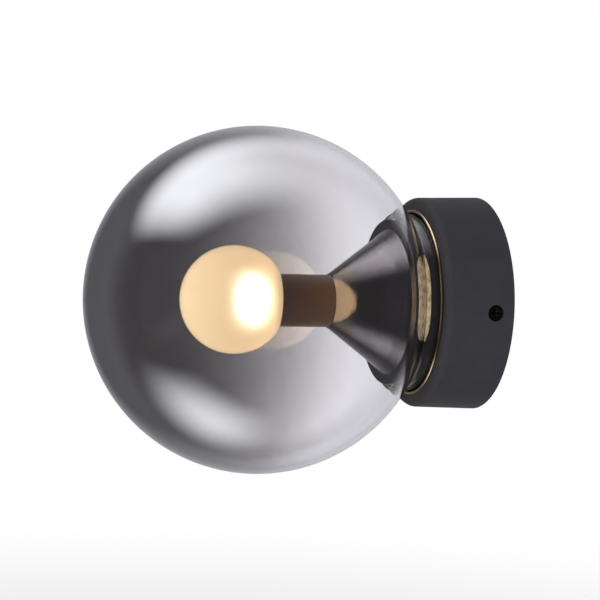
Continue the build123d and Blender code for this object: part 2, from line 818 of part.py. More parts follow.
with BuildPart() as terminal_tubes:
    with BuildSketch(block_floor.offset(pole_inset)):
        with Locations(*pole_places):
            Circle(pole_radius)
            Circle(pole_radius - pole_wall, mode=Mode.SUBTRACT)
    extrude(amount=block_depth - 2 * pole_inset)
    with BuildSketch(at(pole_out, 0, block_z)):
        with Locations(*screw_places):
            Circle(terminal_screw_radius + thread_gap)
    extrude(amount=block_height, mode=Mode.SUBTRACT)
terminal_tubes.part.label = "terminal_tubes"
export_step(terminal_tubes.part, "parts/terminal_tubes.step")

with BuildPart() as terminal_screws:
    with BuildSketch(at(pole_out + pole_radius - 2 * pole_wall, 0, block_z)):
        with Locations(*screw_places):
            Circle(terminal_screw_radius)
    extrude(amount=block_top - pole_out - pole_radius + pole_wall)
    with BuildSketch(at(block_top - pole_wall, 0, block_z)):
        with Locations(*screw_places):
            Rectangle(2 * terminal_screw_radius, terminal_slot_width)
    extrude(amount=-pole_wall, mode=Mode.SUBTRACT)
terminal_screws.part.label = "terminal_screws"
export_step(terminal_screws.part, "parts/terminal_screws.step")

with BuildPart() as block_screw:
    with BuildSketch(at(seat_gap, 0, block_z)):
        Circle(block_screw_radius)
    extrude(amount=block_top - block_screw_head_height - seat_gap)
    with BuildSketch(at(block_top - block_screw_head_height - screw_hole_gap, 0, block_z)):
        Circle(block_screw_head_radius)
    extrude(amount=block_screw_head_height)
    with BuildSketch(at(block_top - screw_hole_gap, 0, block_z)):
        Rectangle(2 * block_screw_head_radius, side_recess_width)
    extrude(amount=-block_screw_head_height / 2, mode=Mode.SUBTRACT)
block_screw.part.label = "block_screw"
export_step(block_screw.part, "parts/block_screw.step")

# Leads from the terminal block through the hollow tube to the lampholder
for side, word in ((1, "live"), (-1, "neutral")):
    lead_end = block_back - wire_radius
    if side < 0:
        lead_end -= neutral_tab_thickness
    pole_x = side * pole_spacing / 2
    lead_x = side * wire_spacing / 2
    with BuildPart() as lead:
        with BuildLine() as lead_path:
            FilletPolyline(
                (pole_x, -pole_out, block_rise),
                (pole_x, -pole_out, slant_top),
                (lead_x, -pole_out, slant_bottom),
                (lead_x, -pole_out, 0),
                (lead_x, -nipple_front - wire_radius, 0),
                (side * wire_splay, -lead_end, 0),
                radius=[wire_shift_radius, wire_shift_radius, wire_bend_radius, wire_splay_radius],
            )
        with BuildSketch(lead_path.line ^ 0):
            Circle(wire_radius)
        sweep()
    lead.part.label = f"wire_{word}"
    export_step(lead.part, f"parts/wire_{word}.step")

# Earth bond: screw and ring on the bracket, lead, and tag on the lamp plate
with BuildPart() as earth_screw:
    head_back = bracket_thickness + earth_ring_thickness
    with BuildSketch(at(seat_gap, earth_x, earth_z)):
        Circle(earth_screw_radius)
    extrude(amount=head_back)
    with BuildSketch(at(head_back, earth_x, earth_z)):
        Circle(earth_head_radius)
    extrude(amount=earth_head_height)
    with BuildSketch(at(head_back + earth_head_height, earth_x, earth_z)):
        Rectangle(2 * earth_head_radius, side_recess_width)
    extrude(amount=-earth_head_height / 2, mode=Mode.SUBTRACT)
earth_screw.part.label = "earth_screw"
export_step(earth_screw.part, "parts/earth_screw.step")

barrel_start = earth_z + earth_head_radius + screw_hole_gap
barrel_end = barrel_start + earth_barrel_length
with BuildPart() as earth_ring:
    with BuildSketch(at(bracket_thickness, earth_x, earth_z)):
        Circle(earth_ring_radius + earth_ring_thickness)
        with Locations((0, (barrel_start - earth_z) / 2)):
            Rectangle(2 * earth_barrel_radius, barrel_start - earth_z)
        Circle(earth_screw_radius + thread_gap, mode=Mode.SUBTRACT)
    extrude(amount=earth_ring_thickness)
    with BuildSketch(Plane(origin=(earth_x, -barrel_out, barrel_start), z_dir=(0, 0, 1))):
        Circle(earth_barrel_radius)
    extrude(amount=earth_barrel_length)
earth_ring.part.label = "earth_ring"
export_step(earth_ring.part, "parts/earth_ring.step")

tag_back = plate_back - earth_ring_thickness
with BuildPart() as wire_earth:
    with BuildLine() as earth_path:
        FilletPolyline(
            (earth_x, -barrel_out, barrel_end),
            (earth_x, -barrel_out, tag_z),
            (earth_x, -tag_back + tag_post, tag_z),
            radius=wire_splay_radius,
        )
    with BuildSketch(earth_path.line ^ 0):
        Circle(wire_radius)
    sweep()
wire_earth.part.label = "wire_earth"
export_step(wire_earth.part, "parts/wire_earth.step")

with BuildPart() as earth_tag:
    with BuildSketch(at(tag_back, earth_x, tag_z)):
        Rectangle(tag_width, tag_width)
    extrude(amount=earth_ring_thickness)
    with BuildSketch(at(tag_back, earth_x, tag_z)):
        Circle(earth_barrel_radius)
    extrude(amount=-tag_post)
earth_tag.part.label = "earth_tag"
export_step(earth_tag.part, "parts/earth_tag.step")

lead_turns = (wire_shift_radius, wire_bend_radius, wire_splay_radius)
print("lead bend radii:", ", ".join(f"{radius:g} mm" for radius in lead_turns))
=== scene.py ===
import bpy
import bmesh
import json
import math
from mathutils import Matrix, Vector


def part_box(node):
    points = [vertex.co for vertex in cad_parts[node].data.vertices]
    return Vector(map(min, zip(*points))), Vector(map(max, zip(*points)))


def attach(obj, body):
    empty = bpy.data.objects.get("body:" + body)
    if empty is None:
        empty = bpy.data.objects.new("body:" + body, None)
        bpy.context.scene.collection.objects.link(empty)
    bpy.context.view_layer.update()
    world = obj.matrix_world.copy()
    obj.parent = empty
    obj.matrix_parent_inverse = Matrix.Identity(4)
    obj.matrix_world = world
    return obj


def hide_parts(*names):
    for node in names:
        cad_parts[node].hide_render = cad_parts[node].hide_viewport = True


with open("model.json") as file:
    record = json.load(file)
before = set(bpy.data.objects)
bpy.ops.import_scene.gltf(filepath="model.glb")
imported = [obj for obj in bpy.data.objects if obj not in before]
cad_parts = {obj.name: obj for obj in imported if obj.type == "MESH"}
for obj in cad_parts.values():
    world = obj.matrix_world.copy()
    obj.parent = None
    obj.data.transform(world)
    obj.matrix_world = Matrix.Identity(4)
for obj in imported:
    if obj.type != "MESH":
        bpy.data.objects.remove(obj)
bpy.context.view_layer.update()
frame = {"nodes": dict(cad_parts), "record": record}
nodes = frame["nodes"]
mm = 0.001

# Globe wall sconce. The wall is the plane y = 0 and the lamp stands out along -y.
# "Out" is the distance from the wall in millimetres.

globeLow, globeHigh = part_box("glass_globe")
ballLow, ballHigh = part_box("bulb_diffuser")
globeRadius = (globeHigh.x - globeLow.x) / 2 / mm
globeOut = -globeLow.y / mm - globeRadius
ballRadius = (ballHigh.x - ballLow.x) / 2 / mm
ballOut = -ballLow.y / mm - ballRadius
cupFront = -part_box("canopy_cup")[0].y / mm
cupCorners = nodes["canopy_cup"].data.vertices
cupHole = min(math.hypot(corner.co.x, corner.co.z) for corner in cupCorners) / mm


def newMaterial(name):
    material = bpy.data.materials.new(name)
    material.use_nodes = True
    tree = material.node_tree
    tree.nodes.clear()
    return material, tree


def isSocket(value):
    return isinstance(value, bpy.types.NodeSocket)


def addNode(tree, kind, inputs=None, **settings):
    node = tree.nodes.new(kind)
    for setting, value in settings.items():
        setattr(node, setting, value)
    for socket, value in (inputs or {}).items():
        if isSocket(value):
            tree.links.new(value, node.inputs[socket])
        else:
            node.inputs[socket].default_value = value
    return node


def setSurface(tree, shader):
    addNode(tree, "ShaderNodeOutputMaterial", {"Surface": shader})


def objectPlace(tree):
    return addNode(tree, "ShaderNodeTexCoord").outputs["Object"]


def calculate(tree, operation, first, second=0.0):
    return addNode(tree, "ShaderNodeMath", {0: first, 1: second}, operation=operation).outputs[0]


def between(tree, value, fromLow, fromHigh, toLow, toHigh, smooth=False):
    kind = "SMOOTHSTEP" if smooth else "LINEAR"
    sides = {"Value": value, "From Min": fromLow, "From Max": fromHigh, "To Min": toLow, "To Max": toHigh}
    return addNode(tree, "ShaderNodeMapRange", sides, interpolation_type=kind).outputs["Result"]


def mixNumbers(tree, share, low, high):
    return addNode(tree, "ShaderNodeMix", {0: share, 2: low, 3: high}, data_type="FLOAT").outputs[0]


def noise(tree, place, size, detail=2.0, roughness=0.5):  # size of the grain in millimetres
    return addNode(tree, "ShaderNodeTexNoise", {
        "Vector": place, "Scale": 1 / (size * mm), "Detail": detail, "Roughness": roughness}).outputs["Fac"]


def wholeColour(tone):
    return tone if isSocket(tone) else (*tone, 1)


def blendColours(tree, share, low, high, blend="MIX"):
    colours = {"Factor": share, 6: wholeColour(low), 7: wholeColour(high)}
    return addNode(tree, "ShaderNodeMix", colours, data_type="RGBA", blend_type=blend).outputs[2]


def bump(tree, height, depth):  # depth of the full height in millimetres
    return addNode(tree, "ShaderNodeBump", {"Height": height, "Distance": depth * mm}).outputs["Normal"]


def mixShaders(tree, share, first, second):
    return addNode(tree, "ShaderNodeMixShader", {0: share, 1: first, 2: second}).outputs[0]


def outFromWall(tree, place):
    side = addNode(tree, "ShaderNodeSeparateXYZ", {0: place}).outputs["Y"]
    return calculate(tree, "MULTIPLY", side, -1 / mm)


def distanceFrom(tree, place, out):  # millimetres from a point on the lamp's axis
    far = addNode(tree, "ShaderNodeVectorMath", {0: place, 1: (0, -out * mm, 0)}, operation="DISTANCE")
    return calculate(tree, "MULTIPLY", far.outputs["Value"], 1 / mm)


def ramp(tree, value, stops):  # stops are (position, grey) pairs
    low, high = stops[0][0], stops[-1][0]
    node = addNode(tree, "ShaderNodeValToRGB", {0: between(tree, value, low, high, 0, 1)})
    elements = node.color_ramp.elements
    for index, (position, grey) in enumerate(stops):
        place = (position - low) / (high - low)
        inner = 0 < index < len(stops) - 1
        element = elements.new(place) if inner else elements[0 if index == 0 else -1]
        element.position = place
        element.color = (grey, grey, grey, 1)
    return node.outputs["Color"]


noiseLow, noiseHigh = 0.3, 0.7  # nearly all of a noise lies between these


def unevenRoughness(tree, grain, look):
    spread = look.get("roughSpread", 0.06)
    return between(tree, grain, noiseLow, noiseHigh, look["roughness"] - spread, look["roughness"] + spread)


def paintFinish(name, look):
    material, tree = newMaterial(name)
    place = objectPlace(tree)
    cloud = noise(tree, place, look["cloudSize"], 3)
    peel = noise(tree, place, look["peelSize"], 1, 0.4)
    shader = addNode(tree, "ShaderNodeBsdfPrincipled", {
        "Base Color": blendColours(tree, cloud, look["dark"], look["light"]),
        "Metallic": look.get("metallic", 0.0),
        "Roughness": unevenRoughness(tree, cloud, look),
        "Specular IOR Level": look.get("shine", 0.5),
        "Normal": bump(tree, peel, look["peelDepth"]),
        "Coat Weight": look.get("coat", 0.0),
        "Coat Roughness": look.get("coatRoughness", 0.2)})
    setSurface(tree, shader.outputs[0])
    return material


def spunCone(name, look):
    # the band next to the tube is tilted in a little and polished, with an uneven edge
    material, tree = newMaterial(name)
    place = objectPlace(tree)
    out = outFromWall(tree, place)
    cloud = noise(tree, place, look["cloudSize"], 3)
    grain = noise(tree, place, look["edgeGrain"], 3, 0.6)
    wander = between(tree, grain, noiseLow, noiseHigh, -look["edgeWander"], look["edgeWander"])
    edge = calculate(tree, "ADD", wander, look["bandFrom"])
    band = between(tree, calculate(tree, "SUBTRACT", out, edge), 0.0, look["bandSoft"], 0, 1, smooth=True)
    plain = blendColours(tree, cloud, look["dark"], look["light"])
    steadier = calculate(tree, "MULTIPLY", wander, look["tiltWander"])
    tiltEdge = calculate(tree, "ADD", steadier, look["bandFrom"])
    past = calculate(tree, "MAXIMUM", calculate(tree, "SUBTRACT", out, tiltEdge), 0.0)
    fallen = calculate(tree, "MULTIPLY", past, -look["bandTilt"])
    shader = addNode(tree, "ShaderNodeBsdfPrincipled", {
        "Base Color": blendColours(tree, band, plain, look["bandColour"]),
        "Metallic": look["metallic"],
        "Roughness": unevenRoughness(tree, cloud, look),
        "Normal": bump(tree, fallen, 1.0)})
    setSurface(tree, shader.outputs[0])
    return material


grainShare = 0.6  # of the grain against the stain on plated metal


def platedFinish(name, look):
    material, tree = newMaterial(name)
    place = objectPlace(tree)
    scale = look.get("grainScale", (1, 1, 1))
    stretch = addNode(tree, "ShaderNodeMapping", {"Vector": place, "Scale": scale}).outputs[0]
    grain = noise(tree, stretch, look["grainSize"], 4, 0.6)
    stain = noise(tree, place, look["stainSize"], 3)
    both = calculate(tree, "ADD", calculate(tree, "MULTIPLY", grain, grainShare),
                     calculate(tree, "MULTIPLY", stain, 1 - grainShare))
    shade = between(tree, both, look.get("from", 0.0), look.get("to", 1.0), 0, 1)
    shader = addNode(tree, "ShaderNodeBsdfPrincipled", {
        "Base Color": blendColours(tree, shade, look["dark"], look["light"]),
        "Metallic": look.get("metallic", 1.0),
        "Roughness": unevenRoughness(tree, both, look),
        "Normal": bump(tree, grain, look["grainDepth"])})
    setSurface(tree, shader.outputs[0])
    return material


def mouldedFinish(name, look):
    material, tree = newMaterial(name)
    place = objectPlace(tree)
    cloud = noise(tree, place, look["cloudSize"], 3)
    spark = noise(tree, place, look["sparkSize"], 2, 0.6)
    shader = addNode(tree, "ShaderNodeBsdfPrincipled", {
        "Base Color": blendColours(tree, cloud, look["dark"], look["light"]),
        "Roughness": unevenRoughness(tree, spark, look),
        "Normal": bump(tree, spark, look["sparkDepth"]),
        "Subsurface Weight": look.get("depthLight", 0.0),
        "Subsurface Scale": mm})
    setSurface(tree, shader.outputs[0])
    return material


def stripedSleeve(name, look):
    material, tree = newMaterial(name)
    place = objectPlace(tree)
    wave = addNode(tree, "ShaderNodeTexWave", {
        "Vector": place, "Scale": 1 / (look["repeat"] * mm) / look["bandsPerScale"],
        "Distortion": 1.5, "Detail": 1.0, "Detail Scale": 1.0},
                   wave_type="BANDS", bands_direction="DIAGONAL").outputs["Fac"]
    share = between(tree, wave, look["yellowFrom"], look["yellowTo"], 0, 1)
    spark = noise(tree, place, look["sparkSize"], 2, 0.6)
    shader = addNode(tree, "ShaderNodeBsdfPrincipled", {
        "Base Color": blendColours(tree, share, look["green"], look["yellow"]),
        "Roughness": unevenRoughness(tree, spark, look),
        "Normal": bump(tree, spark, look["sparkDepth"])})
    setSurface(tree, shader.outputs[0])
    return material


smokeGlass = {
    "ior": 1.45,
    "wallClear": ((36, 1.0), (64, 0.99), (79, 0.965), (88, 0.86), (97, 0.68), (105, 0.52), (113, 0.40),
                  (121, 0.325), (129, 0.29), (175, 0.28)),
    "clearTint": (0.972, 0.968, 1.0),
    "darkTint": (1.0, 0.965, 0.975),
    "tintFrom": 60,
    "tintTo": 130,
    "mirror": ((36, 0.02), (64, 0.04), (80, 0.08), (97, 0.16), (120, 0.30), (140, 0.36), (175, 0.37)),
    "mirrorTint": (0.93, 0.94, 1.0),
    "filmInside": 1.1,
}


def makeSmokeGlass(look):
    # the film lies on the ball's inner wall, thin at the shoulder and dense at the front
    material, tree = newMaterial("smokedGlass")
    place = objectPlace(tree)
    out = outFromWall(tree, place)
    backFace = addNode(tree, "ShaderNodeNewGeometry").outputs["Backfacing"]
    frontFace = calculate(tree, "SUBTRACT", 1.0, backFace)
    filmEdge = globeRadius - look["filmInside"]
    inside = calculate(tree, "LESS_THAN", distanceFrom(tree, place, globeOut), filmEdge)
    tintShare = between(tree, out, look["tintFrom"], look["tintTo"], 0, 1)
    tint = blendColours(tree, tintShare, look["clearTint"], look["darkTint"])
    film = blendColours(tree, 1.0, ramp(tree, out, look["wallClear"]), tint, "MULTIPLY")
    shades = ((1, 1, 1, 1), film)  # of the outer and the inner face
    outerGlass, innerGlass = (addNode(tree, "ShaderNodeBsdfGlass", {
        "Color": shade, "Roughness": 0.0, "IOR": look["ior"]}).outputs[0] for shade in shades)
    outerClear, innerClear = (addNode(tree, "ShaderNodeBsdfTransparent", {"Color": shade}).outputs[0]
                              for shade in shades)
    glossy = addNode(tree, "ShaderNodeBsdfGlossy", {
        "Color": wholeColour(look["mirrorTint"]), "Roughness": 0.0}).outputs[0]
    mirror = calculate(tree, "MULTIPLY", ramp(tree, out, look["mirror"]), frontFace)
    seen = mixShaders(tree, mirror, mixShaders(tree, inside, outerGlass, innerGlass), glossy)
    through = mixShaders(tree, inside, outerClear, innerClear)  # what light passes in straight lines
    ray = addNode(tree, "ShaderNodeLightPath").outputs
    straight = calculate(tree, "MAXIMUM", ray["Is Shadow Ray"], ray["Is Diffuse Ray"])
    setSurface(tree, mixShaders(tree, straight, seen, through))
    return material


litLamp = {
    "front": (1.0, 0.775, 0.465),
    "base": (1.0, 0.66, 0.34),
    "frontStrength": 6.3,
    "baseStrength": 2.15,
    "bareStrength": 1.0,
    "scatter": 0.35,
    "scatterColour": (1, 0.97, 0.9),
    "scatterRoughness": 0.8,
    "scatterIor": 1.25,
    "shineColour": (0.5, 0.5, 0.5),
    "shineRoughness": 0.25,
    "shineIor": 1.3,
    "shellInside": 0.6,
    "hotOut": 103.5,
    "hotRadius": 4.0,
    "hotRing": 4.5,
    "hotCount": 6,
    "hotColour": (1.0, 0.90, 0.70),
    "hotPower": 0.125,
    "glowColour": (1.0, 0.66, 0.36),
    "glowPower": 0.14,
    "glowSize": 0.55,
}


def makeLitOpal(look):
    # the opal shines by itself, and lets a share of the light inside it through, scattered
    material, tree = newMaterial("litOpal")
    place = objectPlace(tree)
    share = between(tree, outFromWall(tree, place), ballOut - ballRadius, ballOut + ballRadius, 0, 1)
    ray = addNode(tree, "ShaderNodeLightPath").outputs
    filmed = between(tree, share, 0, 1, look["baseStrength"], look["frontStrength"])
    strength = mixNumbers(tree, ray["Is Camera Ray"], filmed, look["bareStrength"])
    shown = calculate(tree, "SUBTRACT", 1.0, ray["Is Diffuse Ray"])
    glow = addNode(tree, "ShaderNodeEmission", {
        "Color": blendColours(tree, share, look["base"], look["front"]),
        "Strength": calculate(tree, "MULTIPLY", strength, shown)}).outputs[0]
    scatter = addNode(tree, "ShaderNodeBsdfRefraction", {
        "Color": wholeColour(look["scatterColour"]), "IOR": look["scatterIor"],
        "Roughness": look["scatterRoughness"]}).outputs[0]
    gloss = addNode(tree, "ShaderNodeBsdfGlossy", {
        "Color": wholeColour(look["shineColour"]), "Roughness": look["shineRoughness"]}).outputs[0]
    backFace = addNode(tree, "ShaderNodeNewGeometry").outputs["Backfacing"]
    frontFace = calculate(tree, "SUBTRACT", 1.0, backFace)
    body = mixShaders(tree, calculate(tree, "MULTIPLY", frontFace, look["scatter"]), glow, scatter)
    shine = addNode(tree, "ShaderNodeFresnel", {"IOR": look["shineIor"]}).outputs[0]
    outer = mixShaders(tree, calculate(tree, "MULTIPLY", shine, frontFace), body, gloss)
    clear = addNode(tree, "ShaderNodeBsdfTransparent").outputs[0]
    innerEdge = ballRadius - look["shellInside"]
    inside = calculate(tree, "LESS_THAN", distanceFrom(tree, place, ballOut), innerEdge)
    shell = mixShaders(tree, inside, outer, clear)
    setSurface(tree, mixShaders(tree, ray["Is Shadow Ray"], shell, clear))
    material.cycles.emission_sampling = "NONE"
    return material


print("making finishes")
finishes = {
    "cup_paint": paintFinish("charcoalPowderCoat", {
        "dark": (0.040, 0.039, 0.046), "light": (0.052, 0.050, 0.059), "roughness": 0.56, "roughSpread": 0.05,
        "cloudSize": 9.0, "peelSize": 0.7, "peelDepth": 0.035, "shine": 0.08}),
    "drum_paint": paintFinish("blackNickelDrum", {
        "dark": (0.095, 0.092, 0.098), "light": (0.120, 0.116, 0.123), "metallic": 0.90, "roughness": 0.24,
        "roughSpread": 0.03, "cloudSize": 14.0, "peelSize": 2.2, "peelDepth": 0.004}),
    "cone_paint": spunCone("blackNickelCone", {
        "dark": (0.190, 0.176, 0.184), "light": (0.236, 0.220, 0.230), "metallic": 0.94, "roughness": 0.085,
        "roughSpread": 0.02, "cloudSize": 12.0, "bandFrom": 60.2, "bandColour": (0.27, 0.235, 0.20),
        "bandSoft": 0.35, "bandTilt": 0.072, "edgeGrain": 7.0, "edgeWander": 1.2, "tiltWander": 0.3}),
    "tube_paint": paintFinish("bronzedTube", {
        "dark": (0.165, 0.078, 0.030), "light": (0.195, 0.094, 0.038), "roughness": 0.38, "roughSpread": 0.05,
        "cloudSize": 8.0, "peelSize": 0.8, "peelDepth": 0.02, "coat": 0.1}),
    "black_screw": paintFinish("blackenedScrew", {
        "dark": (0.03, 0.03, 0.033), "light": (0.07, 0.068, 0.07), "metallic": 1.0, "roughness": 0.38,
        "roughSpread": 0.08, "cloudSize": 1.6, "peelSize": 0.25, "peelDepth": 0.01}),
    "zinc": platedFinish("zincPlate", {
        "dark": (0.42, 0.43, 0.45), "light": (0.62, 0.62, 0.62), "roughness": 0.34, "roughSpread": 0.08,
        "grainSize": 0.9, "grainDepth": 0.006, "stainSize": 7.0}),
    "cap_metal": platedFinish("nickelCap", {
        "dark": (0.55, 0.53, 0.50), "light": (0.70, 0.68, 0.64), "roughness": 0.26,
        "grainScale": (1, 0.2, 1), "grainSize": 0.5, "grainDepth": 0.004, "stainSize": 4.0}),
    "contact_metal": platedFinish("contactBrass", {
        "dark": (0.55, 0.38, 0.16), "light": (0.74, 0.55, 0.28), "roughness": 0.28, "roughSpread": 0.08,
        "grainSize": 0.4, "grainDepth": 0.005, "stainSize": 3.0}),
    "earth_metal": platedFinish("tinnedBrass", {
        "dark": (0.52, 0.47, 0.34), "light": (0.72, 0.67, 0.54), "roughness": 0.32, "roughSpread": 0.07,
        "grainSize": 0.4, "grainDepth": 0.005, "stainSize": 3.0}),
    "lamp_white": mouldedFinish("lampMoulding", {
        "dark": (0.78, 0.76, 0.72), "light": (0.86, 0.85, 0.81), "roughness": 0.34, "cloudSize": 6.0,
        "sparkSize": 0.3, "sparkDepth": 0.006, "depthLight": 0.2}),
    "cap_insulator": mouldedFinish("blackGlassInsulator", {
        "dark": (0.018, 0.016, 0.022), "light": (0.035, 0.030, 0.040), "roughness": 0.12, "cloudSize": 2.0,
        "sparkSize": 0.8, "sparkDepth": 0.01}),
    "board": mouldedFinish("whiteBoard", {
        "dark": (0.76, 0.77, 0.76), "light": (0.84, 0.85, 0.85), "roughness": 0.42, "cloudSize": 3.0,
        "sparkSize": 0.25, "sparkDepth": 0.004}),
    "driver": mouldedFinish("greenBoard", {
        "dark": (0.015, 0.085, 0.030), "light": (0.025, 0.13, 0.05), "roughness": 0.36, "cloudSize": 1.4,
        "sparkSize": 0.35, "sparkDepth": 0.01}),
    "chips": mouldedFinish("phosphor", {
        "dark": (0.80, 0.62, 0.08), "light": (0.88, 0.72, 0.16), "roughness": 0.30, "cloudSize": 0.6,
        "sparkSize": 0.2, "sparkDepth": 0.005}),
    "holder_moulding": mouldedFinish("blackThermoset", {
        "dark": (0.022, 0.021, 0.021), "light": (0.034, 0.032, 0.031), "roughness": 0.40, "cloudSize": 4.0,
        "sparkSize": 0.35, "sparkDepth": 0.012}),
    "contact_ceramic": mouldedFinish("steatite", {
        "dark": (0.66, 0.62, 0.54), "light": (0.76, 0.73, 0.66), "roughness": 0.50, "cloudSize": 1.5,
        "sparkSize": 0.2, "sparkDepth": 0.012, "depthLight": 0.1}),
    "block_moulding": mouldedFinish("naturalNylon", {
        "dark": (0.72, 0.70, 0.62), "light": (0.80, 0.78, 0.71), "roughness": 0.42, "cloudSize": 5.0,
        "sparkSize": 0.3, "sparkDepth": 0.01, "depthLight": 0.3}),
    "seal_rubber": mouldedFinish("blackSilicone", {
        "dark": (0.020, 0.020, 0.020), "light": (0.034, 0.033, 0.033), "roughness": 0.62, "cloudSize": 3.0,
        "sparkSize": 0.3, "sparkDepth": 0.02}),
    "live_sleeve": mouldedFinish("brownSleeve", {
        "dark": (0.105, 0.042, 0.020), "light": (0.15, 0.062, 0.030), "roughness": 0.44, "cloudSize": 3.0,
        "sparkSize": 0.4, "sparkDepth": 0.01}),
    "neutral_sleeve": mouldedFinish("blueSleeve", {
        "dark": (0.018, 0.080, 0.36), "light": (0.03, 0.11, 0.45), "roughness": 0.44, "cloudSize": 3.0,
        "sparkSize": 0.4, "sparkDepth": 0.01}),
    "earth_sleeve": stripedSleeve("stripedEarthSleeve", {
        "green": (0.045, 0.29, 0.04), "yellow": (0.82, 0.70, 0.05), "roughness": 0.44, "repeat": 3.6,
        "bandsPerScale": 3.3, "yellowFrom": 0.62, "yellowTo": 0.70, "sparkSize": 0.4, "sparkDepth": 0.01}),
    "smoke_glass": makeSmokeGlass(smokeGlass),
    "opal": makeLitOpal(litLamp),
}

slotOfNode = {part["node"]: part["material_slot"] for part in frame["record"]["subparts"]}
for nodeName, piece in nodes.items():
    for slot in piece.material_slots:
        slot.material = finishes[slotOfNode[nodeName]]


def startTree(name, sizes):  # a Geometry Nodes tree with one named input for each size
    tree = bpy.data.node_groups.new(name, "GeometryNodeTree")
    tree.interface.new_socket("Geometry", in_out="OUTPUT", socket_type="NodeSocketGeometry")
    for label, value in sizes.items():
        kind = "NodeSocketInt" if isinstance(value, int) else "NodeSocketFloat"
        tree.interface.new_socket(label, in_out="INPUT", socket_type=kind)
    return tree, tree.nodes.new("NodeGroupInput").outputs


def endTree(tree, mesh, material):
    real = addNode(tree, "GeometryNodeRealizeInstances", {0: mesh}).outputs[0]
    painted = addNode(tree, "GeometryNodeSetMaterial", {"Geometry": real, "Material": material}).outputs[0]
    addNode(tree, "NodeGroupOutput", {0: painted})


def makePiece(name, treeMaker, sizes, material, place):
    # the tree's result as a plain mesh, turned and moved to its place
    tree = treeMaker(sizes, material)
    holder = bpy.data.objects.new(name + "Tree", bpy.data.meshes.new(name + "Tree"))
    bpy.context.scene.collection.objects.link(holder)
    modifier = holder.modifiers.new("shape", "NODES")
    modifier.node_group = tree
    for socket in tree.interface.items_tree:
        if socket.in_out == "INPUT":
            modifier[socket.identifier] = sizes[socket.name]
    plain = bpy.data.meshes.new_from_object(holder.evaluated_get(bpy.context.evaluated_depsgraph_get()))
    holder.modifiers.remove(modifier)
    bpy.data.objects.remove(holder)
    plain.transform(place)
    plain.materials.clear()
    plain.materials.append(material)
    plain.polygons.foreach_set("material_index", [0] * len(plain.polygons))
    piece = bpy.data.objects.new(name, plain)
    bpy.context.scene.collection.objects.link(piece)
    return piece


def metres(tree, value):
    return calculate(tree, "MULTIPLY", value, mm)


def wrapGrid(tree, rows, columns):
    # a grid whose rows become rings, with the row and the turn of each point
    mesh = addNode(tree, "GeometryNodeMeshGrid", {"Vertices X": rows, "Vertices Y": columns}).outputs["Mesh"]
    index = addNode(tree, "GeometryNodeInputIndex").outputs[0]
    row = calculate(tree, "FLOOR", calculate(tree, "DIVIDE", calculate(tree, "ADD", index, 0.5), columns))
    column = calculate(tree, "SUBTRACT", index, calculate(tree, "MULTIPLY", row, columns))
    turn = calculate(tree, "DIVIDE", column, calculate(tree, "SUBTRACT", columns, 1.0))
    return mesh, row, turn


def ringPlaces(tree, radius, turn, along):
    angle = calculate(tree, "MULTIPLY", turn, 2 * math.pi)
    across = calculate(tree, "MULTIPLY", radius, calculate(tree, "COSINE", angle))
    upward = calculate(tree, "MULTIPLY", radius, calculate(tree, "SINE", angle))
    joined = addNode(tree, "ShaderNodeCombineXYZ", {0: across, 1: upward, 2: along}).outputs[0]
    return addNode(tree, "ShaderNodeVectorMath", {0: joined, "Scale": mm}, operation="SCALE").outputs[0]


def setPlaces(tree, mesh, places, weld):  # points nearer than weld, in millimetres, become one
    placed = addNode(tree, "GeometryNodeSetPosition", {"Geometry": mesh, "Position": places}).outputs[0]
    return addNode(tree, "GeometryNodeMergeByDistance", {0: placed, "Distance": weld * mm}).outputs[0]


def roundTheAxis(tree, points, instance, count):
    index = addNode(tree, "GeometryNodeInputIndex").outputs[0]
    angle = calculate(tree, "MULTIPLY", calculate(tree, "DIVIDE", index, count), 2 * math.pi)
    turn = addNode(tree, "ShaderNodeCombineXYZ", {2: angle}).outputs[0]
    return addNode(tree, "GeometryNodeInstanceOnPoints", {
        "Points": points, "Instance": instance, "Rotation": turn}).outputs[0]


def openMesh(*meshes):
    shape = bmesh.new()
    for mesh in meshes:
        shape.from_mesh(mesh)
    return shape


def closeMesh(shape, mesh):
    shape.to_mesh(mesh)
    shape.free()


def outwards(piece):
    shape = openMesh(piece.data)
    bmesh.ops.recalc_face_normals(shape, faces=shape.faces)
    if shape.calc_volume(signed=True) < 0:
        bmesh.ops.reverse_faces(shape, faces=shape.faces)
    closeMesh(shape, piece.data)


def smoothByAngle(piece, degrees):
    piece.data.shade_smooth()
    piece.data.set_sharp_from_angle(angle=math.radians(degrees))


def outRange(nodeName):
    low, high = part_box(nodeName)
    return -high.y / mm, -low.y / mm


toFront = Matrix(((1, 0, 0), (0, 0, -1), (0, 1, 0))).to_4x4()  # turns +Z to -Y, out from the wall


def atOut(out):
    return Matrix.Translation((0, -out * mm, 0)) @ toFront


sharpEdge = 35  # degrees
closingRows = 3  # rows after the thread's last one, which close its ends and line its bore
runOutDepth = 0.9  # of the thread's depth, cut away at its ends

capThread = {"crest": 6.9, "depth": 0.55, "pitch": 2.822, "bore": 6.05, "rounded": 1.0, "perTurn": 14,
             "around": 61}
nippleThread = {"crest": 4.98, "depth": 0.55, "pitch": 1.0, "bore": 3.3, "rounded": 0.0, "perTurn": 6,
                "around": 41}
screwThread = {"crest": 1.95, "depth": 0.34, "pitch": 0.7, "bore": 1.5, "rounded": 0.0, "perTurn": 6,
               "around": 33}


